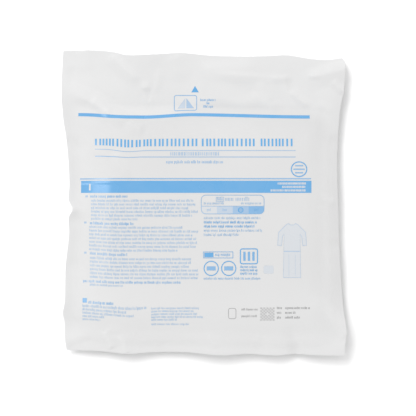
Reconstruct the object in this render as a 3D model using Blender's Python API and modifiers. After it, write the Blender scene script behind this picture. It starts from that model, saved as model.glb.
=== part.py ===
"""A folded surgical gown sealed in a flat peel pouch, lying on its back.

The pouch is two webs of film. They are sealed to each other down both sides, along
the foot and across the head, and above the head seal both run on as free flaps, which
are pulled apart to peel the pouch open. The gown fills the pocket between the seals.

Metres, +Z up and +Y towards the flaps. The origin is in the middle of the underside.
"""

import math
from collections import namedtuple

import bmesh
import bpy
from mathutils import Vector

MM = 0.001

# The cut of each web, and the seals that join the two.
CUT_WIDTH = 286 * MM
CUT_LENGTH = 306 * MM
FILM_WALL = 1.0 * MM
WEB_GAP = 0.4 * MM
SEAL_WIDTH = 9 * MM
HEAD_SEAL_FROM_HEAD = 56 * MM
SEAL_ONSET = 4 * MM
FLAP_PARTING = 1.2 * MM
TABLE_CONTACT = 0.05 * MM
TINY = 0.001 * MM

# How the filled pouch swells over the gown, which lies nearer the right, and how far in
# from each seal a web takes to reach its full height.
PACK_HEIGHT = 27 * MM
CROWN = 1.5 * MM
Shoulders = namedtuple("Shoulders", "left right foot head")
FRONT_SHOULDERS = Shoulders(60 * MM, 30 * MM, 44 * MM, 50 * MM)
FRONT_SWELL = 2.2
BACK_SHOULDERS = Shoulders(28 * MM, 20 * MM, 24 * MM, 26 * MM)
BACK_SWELL = 2.0
EDGE_REACH = 0.4
FOLD_TAPER = 0.7
CELLS_ACROSS = 40
CELLS_UP = 44

# The folded gown: a stack of leaves with rounded folds, inside the pocket.
GOWN_INSET = 13 * MM
GOWN_CORNER = 46 * MM
GOWN_LEAST_CORNER = 8 * MM
GOWN_LEAVES = 5
LEAF_GROOVE = 1.6 * MM
GOWN_UNDER_FRONT = 1.9 * MM
GOWN_OVER_BACK = 0.4 * MM
GOWN_POINTS = 64
GOWN_TOP_INSETS = (17 * MM, 24 * MM, 34 * MM, 48 * MM, 70 * MM, 95 * MM)
GOWN_BASE_INSETS = (48 * MM, 28 * MM, 19 * MM)

# Each edge of the pouch as seen from above, from its foot or left end, in millimetres:
# the place along the edge, how far out it lies there, and how high the seam is.
EdgePoint = namedtuple("EdgePoint", "along out lift")

LEFT_EDGE = (
    EdgePoint(-147.4, -137.5, 5.0),
    EdgePoint(-135.0, -139.1, 5.0),
    EdgePoint(-119.0, -139.6, 4.0),
    EdgePoint(-111.0, -141.1, 5.5),
    EdgePoint(-98.0, -138.9, 8.0),
    EdgePoint(-63.0, -138.1, 6.0),
    EdgePoint(-31.0, -134.7, 7.0),
    EdgePoint(-14.0, -134.9, 8.0),
    EdgePoint(-6.5, -131.5, 12.0),
    EdgePoint(3.0, -135.2, 8.5),
    EdgePoint(17.0, -134.4, 6.5),
    EdgePoint(41.0, -135.4, 7.0),
    EdgePoint(65.0, -137.6, 6.5),
    EdgePoint(81.0, -140.2, 7.0),
    EdgePoint(110.0, -142.2, 9.5),
    EdgePoint(129.0, -141.9, 5.5),
    EdgePoint(152.0, -141.0, 3.0),
)

RIGHT_EDGE = (
    EdgePoint(-152.6, 140.7, 8.5),
    EdgePoint(-143.0, 140.9, 9.5),
    EdgePoint(-129.0, 142.2, 11.0),
    EdgePoint(-103.0, 139.2, 7.5),
    EdgePoint(-63.0, 136.2, 8.0),
    EdgePoint(-31.0, 134.9, 7.0),
    EdgePoint(1.0, 134.0, 8.5),
    EdgePoint(33.0, 133.0, 8.0),
    EdgePoint(65.0, 134.0, 8.0),
    EdgePoint(97.0, 136.7, 9.0),
    EdgePoint(112.0, 140.0, 11.5),
    EdgePoint(130.0, 140.9, 13.0),
    EdgePoint(144.4, 140.2, 11.0),
)

FOOT_EDGE = (
    EdgePoint(-137.5, -147.4, 5.0),
    EdgePoint(-103.8, -148.4, 6.0),
    EdgePoint(-75.8, -150.9, 8.5),
    EdgePoint(-55.8, -149.7, 6.5),
    EdgePoint(-31.8, -149.1, 6.0),
    EdgePoint(-13.8, -149.7, 7.0),
    EdgePoint(15.2, -152.3, 9.5),
    EdgePoint(42.0, -151.1, 8.0),
    EdgePoint(72.2, -152.6, 9.5),
    EdgePoint(91.2, -151.2, 7.0),
    EdgePoint(112.2, -152.4, 9.0),
    EdgePoint(140.7, -152.6, 8.5),
)

HEAD_EDGE = (
    EdgePoint(-141.0, 152.0, 3.0),
    EdgePoint(-119.8, 152.6, 3.5),
    EdgePoint(-103.8, 152.3, 4.0),
    EdgePoint(-87.8, 150.3, 5.5),
    EdgePoint(-77.8, 147.6, 8.5),
    EdgePoint(-63.8, 147.6, 9.0),
    EdgePoint(-39.8, 149.0, 6.0),
    EdgePoint(-21.8, 150.0, 4.5),
    EdgePoint(8.2, 146.9, 6.0),
    EdgePoint(40.2, 146.2, 6.5),
    EdgePoint(64.2, 146.6, 6.0),
    EdgePoint(84.2, 147.4, 5.5),
    EdgePoint(106.2, 143.8, 7.5),
    EdgePoint(124.0, 142.6, 8.5),
    EdgePoint(134.0, 144.6, 10.0),
    EdgePoint(140.2, 144.4, 11.0),
)

# The largest folds of the film, in millimetres: where the crest starts and ends, its
# height (below zero for a trough), and how wide its flanks are to its left and right.
Fold = namedtuple("Fold", "x0 y0 x1 y1 height left right")

FOLDS = (
    Fold(-142, 112, -112, 101, 2.6, 15, 11),
    Fold(-116, 103, -60, 72, 2.6, 18, 13),
    Fold(-98, 52, -96, -52, 1.6, 15, 13),
    Fold(-78, 46, -73, 24, -1.2, 9, 10),
    Fold(-82, 150, -58, 122, 2.4, 11, 10),
    Fold(-14, 130, 88, 124, 3.4, 24, 10),
    Fold(100, 123, 143, 133, 4.6, 15, 12),
    Fold(84, 127, 110, 94, -2.2, 10, 14),
    Fold(50, 107, 80, 86, 2.2, 14, 15),
    Fold(-136, -6, -106, -10, 3.2, 10, 10),
    Fold(-134, -138, -102, -129, -2.4, 11, 10),
    Fold(83, -118, 93, -150, -2.0, 14, 12),
    Fold(106, -90, 140, -130, 2.0, 13, 13),
    Fold(-102, -126, -82, -148, 1.6, 11, 11),
    Fold(112, 6, 136, 1, 1.8, 9, 12),
)


def smooth_through(rows, along, column):
    """The value of a column at a place along an edge, on a smooth curve through its rows."""
    first = 0
    while first < len(rows) - 2 and rows[first + 1].along <= along:
        first += 1
    start, end = rows[first], rows[first + 1]
    span = end.along - start.along
    share = min(max((along - start.along) / span, 0.0), 1.0)

    def slope(index):
        before = rows[max(index - 1, 0)]
        after = rows[min(index + 1, len(rows) - 1)]
        rise = getattr(after, column) - getattr(before, column)
        return rise / (after.along - before.along)

    square, cube = share**2, share**3
    return (
        getattr(start, column) * (2 * cube - 3 * square + 1)
        + getattr(end, column) * (3 * square - 2 * cube)
        + slope(first) * span * (cube - 2 * square + share)
        + slope(first + 1) * span * (cube - square)
    )


def edge_point(rows, share, along_y):
    """The point at a share of the way along an edge of the pouch, in metres."""
    along = rows[0].along + share * (rows[-1].along - rows[0].along)
    out = smooth_through(rows, along, "out")
    lift = smooth_through(rows, along, "lift")
    return Vector((out, along, lift) if along_y else (along, out, lift)) * MM


def fade(share):
    """How much of an edge's waviness is left at this share of the way to the edge opposite."""
    return max(0.0, 1 - share / EDGE_REACH) ** 2


def seam_point(across, up):
    """The middle of the pouch's seam surface at a share of its width and its length."""
    left, right = edge_point(LEFT_EDGE, up, True), edge_point(RIGHT_EDGE, up, True)
    foot, head = edge_point(FOOT_EDGE, across, False), edge_point(HEAD_EDGE, across, False)
    foot_left, foot_right = edge_point(LEFT_EDGE, 0, True), edge_point(RIGHT_EDGE, 0, True)
    head_left, head_right = edge_point(LEFT_EDGE, 1, True), edge_point(RIGHT_EDGE, 1, True)
    straight_left, straight_right = foot_left.lerp(head_left, up), foot_right.lerp(head_right, up)
    straight_foot = foot_left.lerp(foot_right, across)
    straight_head = head_left.lerp(head_right, across)
    return (
        straight_left.lerp(straight_right, across)
        + (left - straight_left) * fade(across)
        + (right - straight_right) * fade(1 - across)
        + (foot - straight_foot) * fade(up)
        + (head - straight_head) * fade(1 - up)
    )


def inside_seals(across, up):
    """How far a point of the film lies inside the seal on each side of the pocket."""
    return Shoulders(
        left=across * CUT_WIDTH - SEAL_WIDTH,
        right=(1 - across) * CUT_WIDTH - SEAL_WIDTH,
        foot=up * CUT_LENGTH - SEAL_WIDTH,
        head=(1 - up) * CUT_LENGTH - HEAD_SEAL_FROM_HEAD,
    )


def swell(across, up, shoulders, power):
    """The share of its full height that a web has reached at a point of the film."""
    share = 1.0
    for inside, shoulder in zip(inside_seals(across, up), shoulders):
        if inside < SEAL_ONSET:
            inside = max(inside + SEAL_ONSET, 0.0) ** 2 / (4 * SEAL_ONSET)
        share *= 1 - (1 - min(inside / shoulder, 1.0)) ** power
    return share


def fold_height(x, y):
    """How far the folds lift the film at a place, in metres."""
    total = 0.0
    for fold in FOLDS:
        start = Vector((fold.x0, fold.y0)) * MM
        line = Vector((fold.x1, fold.y1)) * MM - start
        place = Vector((x, y)) - start
        share = place.dot(line) / line.length_squared
        aside = (line.x * place.y - line.y * place.x) / line.length
        width = (fold.left if aside > 0 else fold.right) * MM
        if 0 < share < 1 and abs(aside) < width:
            flank = 1 - abs(aside) / width
            crest = flank**2 * (3 - 2 * flank)
            total += fold.height * MM * crest * math.sin(math.pi * share) ** FOLD_TAPER
    return total


def flap_parting(up):
    """How far the two flaps have sprung apart at this share of the pouch's length."""
    flap = HEAD_SEAL_FROM_HEAD / CUT_LENGTH
    return FLAP_PARTING * max(0.0, (up - 1 + flap) / flap) ** 2


def back_top(across, up):
    """The inner face of the back web: low under the gown, and up at the seam round it."""
    seam = seam_point(across, up)
    share = swell(across, up, BACK_SHOULDERS, BACK_SWELL)
    on_seam = seam.z - WEB_GAP / 2 + fold_height(seam.x, seam.y)
    height = max(on_seam + (FILM_WALL - on_seam) * share, FILM_WALL)
    return Vector((seam.x, seam.y, height))


def front_plain(across, up):
    """The inner face of the front web without its folds: a pillow over the gown."""
    seam = seam_point(across, up)
    share = swell(across, up, FRONT_SHOULDERS, FRONT_SWELL)
    bow = (1 - (2 * across - 1) ** 2) * math.sin(math.pi * up)
    crown = PACK_HEIGHT - FILM_WALL - CROWN * (1 - bow)
    on_seam = seam.z + WEB_GAP / 2 + flap_parting(up)
    return Vector((seam.x, seam.y, on_seam + (crown - on_seam) * share))


def front_under(across, up):
    """The inner face of the front web, folds included, always clear of the back web."""
    point = front_plain(across, up)
    clear = back_top(across, up).z + WEB_GAP
    point.z = max(point.z + fold_height(point.x, point.y), clear)
    return point


def film_material(name, colour, roughness):
    material = bpy.data.materials.new(name)
    material.use_nodes = True
    shader = material.node_tree.nodes["Principled BSDF"]
    shader.inputs["Base Color"].default_value = (*colour, 1)
    shader.inputs["Roughness"].default_value = roughness
    shader.inputs["Metallic"].default_value = 0.0
    return material


def finished(name, mesh, collection, material):
    """A named object for one piece, shaded smooth."""
    piece = bpy.data.objects.new(name, mesh)
    mesh.materials.append(material)
    mesh.shade_smooth()
    collection.objects.link(piece)
    return piece


def web(name, inner_face, outwards, collection, material):
    """One web: a flat grid of film laid on its inner face and thickened outwards."""
    shape = bmesh.new()
    bmesh.ops.create_grid(shape, x_segments=CELLS_ACROSS, y_segments=CELLS_UP, size=0.5)
    for vertex in shape.verts:
        vertex.co = inner_face(vertex.co.x + 0.5, vertex.co.y + 0.5)
    mesh = bpy.data.meshes.new(name)
    shape.to_mesh(mesh)
    shape.free()
    piece = finished(name, mesh, collection, material)
    wall = piece.modifiers.new("film wall", "SOLIDIFY")
    wall.thickness = FILM_WALL
    wall.offset = outwards
    wall.use_even_offset = True
    return piece


def level_on_table(piece):
    """Applies the wall, levels what lies on the table, and makes one face of each flat side."""
    graph = bpy.context.evaluated_depsgraph_get()
    solid = bpy.data.meshes.new_from_object(piece.evaluated_get(graph))
    piece.modifiers.clear()
    piece.data = solid
    shape = bmesh.new()
    shape.from_mesh(solid)
    for vertex in shape.verts:
        if vertex.co.z < TABLE_CONTACT:
            vertex.co.z = 0.0
    for height in (0.0, FILM_WALL):
        flat = [f for f in shape.faces if all(abs(v.co.z - height) < TINY for v in f.verts)]
        bmesh.ops.dissolve_faces(shape, faces=flat, use_verts=False)
    shape.to_mesh(solid)
    shape.free()


def pocket_ring(inset):
    """Shares across and up of a ring of points on the pocket's outline, drawn in by the inset."""
    half_width = CUT_WIDTH / 2 - SEAL_WIDTH
    pocket_length = CUT_LENGTH - SEAL_WIDTH - HEAD_SEAL_FROM_HEAD
    middle = SEAL_WIDTH + pocket_length / 2
    corner = max(GOWN_CORNER - inset, GOWN_LEAST_CORNER)
    reach_x = half_width - inset - corner
    reach_y = pocket_length / 2 - inset - corner
    ring = []
    for index in range(GOWN_POINTS):
        turn = 2 * math.pi * (index + 0.5) / GOWN_POINTS
        side_x, side_y = math.cos(turn), math.sin(turn)
        square = max(abs(side_x), abs(side_y))
        x = reach_x * side_x / square + corner * side_x
        y = reach_y * side_y / square + corner * side_y
        ring.append((0.5 + x / CUT_WIDTH, (middle + y) / CUT_LENGTH))
    return ring


def gown_rings():
    """The folded gown's rings of points, from the middle of its base to the middle of its top."""

    def lying_on_back(share):
        point = back_top(*share)
        return Vector((point.x, point.y, point.z + GOWN_OVER_BACK))

    def lying_under_front(share):
        point = front_plain(*share)
        return Vector((point.x, point.y, point.z - GOWN_UNDER_FRONT))

    rings = [[lying_on_back(s) for s in pocket_ring(inset)] for inset in GOWN_BASE_INSETS]
    for step in range(2 * GOWN_LEAVES + 1):
        height = (step + 1) / (2 * GOWN_LEAVES + 2)
        in_groove = step % 2 == 0
        inset = GOWN_INSET + (LEAF_GROOVE if in_groove else 0.0)
        edge = pocket_ring(inset)
        rings.append([lying_on_back(s).lerp(lying_under_front(s), height) for s in edge])
    rings += [[lying_under_front(s) for s in pocket_ring(inset)] for inset in GOWN_TOP_INSETS]
    return rings


def folded_gown(collection, material):
    """The folded stack, drawn out ring by ring from its base and capped at both ends."""
    rings = gown_rings()
    shape = bmesh.new()
    bmesh.ops.create_circle(shape, segments=GOWN_POINTS, radius=1, cap_ends=True)
    loop = list(shape.verts)
    for vertex, point in zip(loop, rings[0]):
        vertex.co = point
    edges = list(shape.edges)
    for ring in rings[1:]:
        drawn = bmesh.ops.extrude_edge_only(shape, edges=edges)["geom"]
        loop = [item for item in drawn if isinstance(item, bmesh.types.BMVert)]
        edges = [item for item in drawn if isinstance(item, bmesh.types.BMEdge)]
        for vertex, point in zip(loop, ring):
            vertex.co = point
    bmesh.ops.contextual_create(shape, geom=edges)
    bmesh.ops.recalc_face_normals(shape, faces=shape.faces)
    mesh = bpy.data.meshes.new("folded_gown")
    shape.to_mesh(mesh)
    shape.free()
    return finished("folded_gown", mesh, collection, material)


def centre_on_origin(pieces):
    """Moves the pieces together so that their box is centred over the origin."""
    corners = [vertex.co for piece in pieces for vertex in piece.data.vertices]
    middle_x = (min(c.x for c in corners) + max(c.x for c in corners)) / 2
    middle_y = (min(c.y for c in corners) + max(c.y for c in corners)) / 2
    for piece in pieces:
        for vertex in piece.data.vertices:
            vertex.co -= Vector((middle_x, middle_y, 0))


def main():
    for leftover in list(bpy.data.objects):
        bpy.data.objects.remove(leftover)
    collection = bpy.data.collections.new("surgical gown pack")
    bpy.context.scene.collection.children.link(collection)
    front_film = film_material("front_film", (0.80, 0.80, 0.79), 0.45)
    back_film = film_material("back_film", (0.82, 0.82, 0.81), 0.4)
    nonwoven = film_material("blue_nonwoven", (0.16, 0.36, 0.62), 0.9)
    front = web("front_web", front_under, 1, collection, front_film)
    back = web("back_web", back_top, -1, collection, back_film)
    level_on_table(back)
    gown = folded_gown(collection, nonwoven)
    centre_on_origin([front, back, gown])


main()
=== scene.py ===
# %% [markdown]
# # A folded surgical gown in its peel pouch
#
# A hospital opens this pack at the operating table. It is two rectangles of white film,
# sealed together round a folded gown, with two free flaps at the head that are pulled
# apart to peel it open. The pack lies on its back and is seen from straight above.
#
# The lesson has three parts: film that looks like film, which is all in its creases,
# print that follows those creases, and a light that shows white on white.

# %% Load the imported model
import math
from collections import namedtuple

import bmesh
import bpy
import numpy as np
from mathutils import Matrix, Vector, noise


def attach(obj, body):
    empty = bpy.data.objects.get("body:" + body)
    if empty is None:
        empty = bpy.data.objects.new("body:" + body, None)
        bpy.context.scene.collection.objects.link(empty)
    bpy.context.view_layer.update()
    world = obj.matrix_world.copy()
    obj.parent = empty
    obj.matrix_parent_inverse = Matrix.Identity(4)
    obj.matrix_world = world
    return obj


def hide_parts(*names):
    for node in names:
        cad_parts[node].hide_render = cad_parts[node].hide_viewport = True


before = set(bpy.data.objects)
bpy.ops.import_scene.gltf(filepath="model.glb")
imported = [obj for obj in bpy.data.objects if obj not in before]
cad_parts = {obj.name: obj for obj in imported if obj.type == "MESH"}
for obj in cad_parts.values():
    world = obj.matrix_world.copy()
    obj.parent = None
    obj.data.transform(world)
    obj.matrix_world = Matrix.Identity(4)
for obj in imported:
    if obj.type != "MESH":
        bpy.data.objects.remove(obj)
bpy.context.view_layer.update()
MM = 0.001

# %% [markdown]
# ## The cut of the film and the four edges
#
# Both webs are cut to the same rectangle. Filled and laid down, its edges are no longer
# straight: the gown draws the sides in, and each edge lifts off the table here and there.
# Each table below follows one edge of the pouch from its foot or its left end, in
# millimetres. It has the place along the edge, how far out the edge lies there, and how
# high the seam is above the table. They are the edges of the solid model, but that the
# head's right corner and the bottom of the pinch at the left lie a little lower here.

# %% Sizes of the pouch
CUT_WIDTH = 286 * MM
CUT_LENGTH = 306 * MM
SEAL_WIDTH = 9 * MM
HEAD_SEAL_FROM_HEAD = 56 * MM
SEAL_ONSET = 4 * MM
PACK_HEIGHT = 27 * MM
CROWN = 1.5 * MM
FILM = 0.2 * MM

# %% The four edges
EdgePoint = namedtuple("EdgePoint", "along out lift")


def table(row_type, *rows):
    """A table with named columns."""
    return tuple(row_type(*row) for row in rows)


LEFT_EDGE = table(
    EdgePoint,
    (-147.4, -137.5, 5.0), (-135.0, -139.1, 5.0), (-119.0, -139.6, 4.0), (-111.0, -141.1, 5.5),
    (-98.0, -138.9, 8.0), (-63.0, -138.1, 6.0), (-31.0, -134.7, 7.0), (-14.0, -134.9, 8.0),
    (-6.5, -131.0, 10.0), (3.0, -135.2, 8.5), (17.0, -134.4, 6.5), (41.0, -135.4, 7.0),
    (65.0, -137.6, 6.5), (81.0, -140.2, 7.0), (110.0, -142.2, 9.5), (129.0, -141.9, 5.5),
    (152.0, -141.0, 3.0),
)
RIGHT_EDGE = table(
    EdgePoint,
    (-152.6, 140.7, 8.5), (-143.0, 140.9, 9.5), (-129.0, 142.2, 11.0), (-103.0, 139.2, 7.5),
    (-63.0, 136.2, 8.0), (-31.0, 134.9, 7.0), (1.0, 134.0, 8.5), (33.0, 133.0, 8.0),
    (65.0, 134.0, 8.0), (97.0, 136.7, 8.5), (112.0, 140.0, 8.5), (130.0, 140.9, 6.5),
    (139.5, 141.4, 6.0), (145.0, 138.8, 4.5),
)
FOOT_EDGE = table(
    EdgePoint,
    (-137.5, -147.4, 5.0), (-103.8, -148.4, 6.0), (-75.8, -150.9, 8.5), (-55.8, -149.7, 6.5),
    (-31.8, -149.1, 6.0), (-13.8, -149.7, 7.0), (15.2, -152.3, 9.5), (42.0, -151.1, 8.0),
    (72.2, -152.6, 9.5), (91.2, -151.2, 7.0), (112.2, -152.4, 9.0), (140.7, -152.6, 8.5),
)
HEAD_EDGE = table(
    EdgePoint,
    (-141.0, 152.0, 3.0), (-119.8, 152.6, 3.5), (-103.8, 152.3, 4.0), (-87.8, 150.3, 5.5),
    (-77.8, 147.6, 8.5), (-63.8, 147.6, 9.0), (-39.8, 149.0, 6.0), (-21.8, 150.0, 4.5),
    (8.2, 146.9, 6.0), (40.2, 146.2, 6.5), (64.2, 146.6, 6.0), (84.2, 147.4, 5.5),
    (106.2, 143.8, 7.5), (124.0, 142.6, 7.5), (132.0, 143.8, 6.0), (138.8, 145.0, 4.5),
)

# %% [markdown]
# ## A smooth surface between four edges
#
# Each edge becomes a smooth curve through its points. A point of the film is then found
# from its share of the way across and up the pouch: it starts on the plain surface
# between the four corners, and takes on each edge's waviness, which dies away towards
# the edge opposite. The functions work on whole NumPy arrays of shares, so one call
# gives the whole film.

# %% Curves along the edges
def read_curve(rows, share, column):
    """A column of an edge table, read on a smooth curve at shares of the way along it."""
    along = np.array([row.along for row in rows])
    value = np.array([getattr(row, column) for row in rows])
    before = np.maximum(np.arange(len(rows)) - 1, 0)
    after = np.minimum(np.arange(len(rows)) + 1, len(rows) - 1)
    slope = (value[after] - value[before]) / (along[after] - along[before])
    place = along[0] + share * (along[-1] - along[0])
    first = np.clip(np.searchsorted(along, place, side="right") - 1, 0, len(rows) - 2)
    span = along[first + 1] - along[first]
    t = (place - along[first]) / span
    return (
        value[first] * (2 * t**3 - 3 * t**2 + 1)
        + value[first + 1] * (3 * t**2 - 2 * t**3)
        + slope[first] * span * (t**3 - 2 * t**2 + t)
        + slope[first + 1] * span * (t**3 - t**2)
    )


def edge_curve(rows, share, runs_up):
    """Points on an edge of the pouch, in metres, with the coordinates along the last axis."""
    along = rows[0].along + share * (rows[-1].along - rows[0].along)
    out = read_curve(rows, share, "out")
    lift = read_curve(rows, share, "lift")
    return np.stack((out, along, lift) if runs_up else (along, out, lift), axis=-1) * MM


def between(start, end, share):
    return start + (end - start) * share[..., None]


EDGE_REACH = 0.4


def fade(share):
    """How much of an edge's waviness is left at this share of the way to the edge opposite."""
    return (np.clip(1 - share / EDGE_REACH, 0, 1) ** 2)[..., None]


# %% The seam surface
def seam_surface(across, up):
    """The surface midway between the two webs, at shares of the pouch's width and length."""
    zero, one = np.zeros_like(across), np.ones_like(across)
    left, right = edge_curve(LEFT_EDGE, up, True), edge_curve(RIGHT_EDGE, up, True)
    foot, head = edge_curve(FOOT_EDGE, across, False), edge_curve(HEAD_EDGE, across, False)
    foot_left, foot_right = edge_curve(LEFT_EDGE, zero, True), edge_curve(RIGHT_EDGE, zero, True)
    head_left, head_right = edge_curve(LEFT_EDGE, one, True), edge_curve(RIGHT_EDGE, one, True)
    plain_left, plain_right = between(foot_left, head_left, up), between(foot_right, head_right, up)
    plain_foot = between(foot_left, foot_right, across)
    plain_head = between(head_left, head_right, across)
    return (
        between(plain_left, plain_right, across)
        + (left - plain_left) * fade(across)
        + (right - plain_right) * fade(1 - across)
        + (foot - plain_foot) * fade(up)
        + (head - plain_head) * fade(1 - up)
    )


def grid_lines(length, bands):
    """Shares of a length where grid lines lie. Each band says where it ends and its cell."""
    lines, start = [0.0], 0.0
    for end, cell in bands:
        count = math.ceil((end - start) * length / cell)
        lines += [start + (end - start) * (step + 1) / count for step in range(count)]
        start = end
    return np.array(lines)


ACROSS_BANDS = ((0.16, 1.25 * MM), (0.86, 1.65 * MM), (1.0, 1.25 * MM))
UP_BANDS = ((0.13, 1.25 * MM), (0.72, 2.1 * MM), (1.0, 1.1 * MM))
across_lines = grid_lines(CUT_WIDTH, ACROSS_BANDS)
up_lines = grid_lines(CUT_LENGTH, UP_BANDS)
CELLS_ACROSS, CELLS_UP = len(across_lines) - 1, len(up_lines) - 1
across, up = np.meshgrid(across_lines, up_lines)
seam = seam_surface(across, up)
print("film grid:", CELLS_ACROSS, "by", CELLS_UP, "cells")

# %% [markdown]
# ## How the pocket swells
#
# Inside the seals the gown pushes the front film up and the back film down onto the
# table. The film climbs steeply off each seal and rounds over on to the gown. The gown
# lies nearer the right side, so the shoulder there is short and steep, and the left one
# is long. Multiplying the four sides' shares together rounds the corners by itself.

# %% Swelling of the two webs
Shoulders = namedtuple("Shoulders", "left right foot head")
FRONT_SHOULDERS = Shoulders(60 * MM, 30 * MM, 44 * MM, 50 * MM)
BACK_SHOULDERS = Shoulders(28 * MM, 20 * MM, 24 * MM, 26 * MM)
FRONT_SWELL = 2.2
BACK_SWELL = 2.0


def ease(share):
    share = np.clip(share, 0, 1)
    return share**2 * (3 - 2 * share)


def inside_seals(across, up):
    """How far each point lies inside the seal on each side of the pocket."""
    return Shoulders(
        left=across * CUT_WIDTH - SEAL_WIDTH,
        right=(1 - across) * CUT_WIDTH - SEAL_WIDTH,
        foot=up * CUT_LENGTH - SEAL_WIDTH,
        head=(1 - up) * CUT_LENGTH - HEAD_SEAL_FROM_HEAD,
    )


def swell(shoulders, power):
    """The share of its full height that a web has reached at each point of the film."""
    share = np.ones_like(across)
    for inside, shoulder in zip(inside_seals(across, up), shoulders):
        eased = np.maximum(inside + SEAL_ONSET, 0) ** 2 / (4 * SEAL_ONSET)
        inside = np.where(inside < SEAL_ONSET, eased, inside)
        share = share * (1 - (1 - np.minimum(inside / shoulder, 1)) ** power)
    return share


front_share = swell(FRONT_SHOULDERS, FRONT_SWELL)
back_share = swell(BACK_SHOULDERS, BACK_SWELL)
print("front plateau:", round(float((front_share > 0.98).mean()), 2), "of the film")

# %% [markdown]
# ## Where the film looks grey
#
# White film lets a little light through, so it looks greyer where something lies close
# behind it. Free film is light, and film that lies on the gown is greyer, partly from that
# show-through and partly as painted shade. The fold at the gown's head is darkest, which
# is painted shade. The hollow by the foot is lightest, which is painted light, and the
# right margin, which stands over its own shadow, gets that shadow painted on. All this is
# one number.

# %% The film's grey: show-through and painted shade
# Greys of free film, of film over the gown (partly show-through, partly painted shade), and of the
# painted shade over the gown's fold at the head.
FREE, LYING, PAINTED_FOLD_SHADE = 0.3, 0.65, 1.0
SHOW_AND_SHADE_HEAD = np.interp(across, (0.38, 0.52, 0.75), (3 * MM, -14 * MM, -9 * MM))
SHOW_AND_SHADE_STARTS = Shoulders(-16 * MM, 0 * MM, 8 * MM, SHOW_AND_SHADE_HEAD)
SHOW_AND_SHADE_REACH = Shoulders(56 * MM, 15 * MM, 90 * MM, 12 * MM)
FOLD_ONSET, HEAD_FOLD = 12 * MM, 62 * MM
# The hollow by the foot gets painted light.
HOLLOW, HOLLOW_REACH = 5.5 * MM, 14 * MM
# The right margin gets a painted shadow: the shadow that lies beneath it, painted on the film.
PAINTED_SHADOW_RIM, PAINTED_SHADOW = 13 * MM, 0.62


def show_and_shade_share():
    """The film's grey: 0 for painted light over the hollow, 0.3 where free, 1 for painted shade
    over the head fold.
    """
    inside = inside_seals(across, up)
    lying = np.ones_like(across)
    for depth, start, reach in zip(inside, SHOW_AND_SHADE_STARTS, SHOW_AND_SHADE_REACH):
        lying = lying * ease((depth - start) / reach)
    # Painted shade over the gown's fold at the head.
    fold_shade = ease(inside.head / FOLD_ONSET) * ease(1 - inside.head / HEAD_FOLD)
    # Painted light over the hollow by the foot.
    painted_light_over_hollow = ease(1 - abs(inside.foot - HOLLOW) / HOLLOW_REACH)
    # Painted shadow along the right margin, fading towards the foot and the head.
    painted_shadow = ease(1 - (inside.right + SEAL_WIDTH) / PAINTED_SHADOW_RIM) * np.sin(np.pi * up)
    grey = FREE + (LYING - FREE) * lying + (PAINTED_FOLD_SHADE - LYING) * lying * fold_shade
    return grey - FREE * painted_light_over_hollow + PAINTED_SHADOW * painted_shadow


smooth_show_and_shade = show_and_shade_share()
print("touch from", round(float(smooth_show_and_shade.min()), 2), "to", round(float(smooth_show_and_shade.max()), 2))

# %% [markdown]
# ## Creases
#
# Film doesn't wave like cloth. It stays flat and then gives way along a line, so a
# crease is a fairly sharp crest or valley with a plane on each side. Each row of the
# table is one crease: its path as seen from above, its height, with valleys below zero,
# the width of its left and right flank, how crisp its crest is, and the share of its
# length over which it fades in and out. All the lengths are millimetres.

# %% One crease and many
Crease = namedtuple("Crease", "path height left right crisp start end")
LEAST_BLUNT = 0.35 * MM
BLUNT_SHARE = 0.25
CRISP_POWER = 1.35


def along_path(path, x, y):
    """For each place: how far along the path its nearest point is, and how far aside it lies."""
    knots = np.array(path) * MM
    steps = np.diff(knots, axis=0)
    lengths = np.hypot(steps[:, 0], steps[:, 1])
    nearest = np.full(x.shape, np.inf)
    aside, along = np.zeros_like(x), np.zeros_like(x)
    for index, length in enumerate(lengths):
        ahead = steps[index] / length
        from_x, from_y = x - knots[index, 0], y - knots[index, 1]
        travel = np.clip(from_x * ahead[0] + from_y * ahead[1], 0, length)
        off_x, off_y = from_x - travel * ahead[0], from_y - travel * ahead[1]
        distance = np.hypot(off_x, off_y)
        closer = distance < nearest
        nearest = np.where(closer, distance, nearest)
        aside = np.where(closer, distance * np.sign(ahead[0] * off_y - ahead[1] * off_x), aside)
        along = np.where(closer, lengths[:index].sum() + travel, along)
    return along / lengths.sum(), aside


def relief(creases, x, y):
    """How far the creases lift the film at each place, in metres."""
    total = np.zeros_like(x)
    for crease in creases:
        along, aside = along_path(crease.path, x, y)
        width = np.where(aside > 0, crease.left, crease.right) * MM
        blunt = LEAST_BLUNT + (1 - crease.crisp) * BLUNT_SHARE * width
        flank = np.clip(1 - (np.hypot(aside, blunt) - blunt) / width, 0, 1)
        profile = crease.crisp * flank**CRISP_POWER + (1 - crease.crisp) * ease(flank)
        fading = ease(along / crease.start) * ease((1 - along) / crease.end)
        total += crease.height * MM * profile * fading
    return total


# %% [markdown]
# ## Where the film is creased
#
# The flaps at the head carry nothing, so they are creased most. Long ridges run in from
# the left edge and from the head towards the corner of the gown, others cross the flap,
# and a broad one runs out to its right corner. The pocket is tight: only short creases
# run in from its seals, with a pinch in the left edge where the film is nicked.

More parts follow.
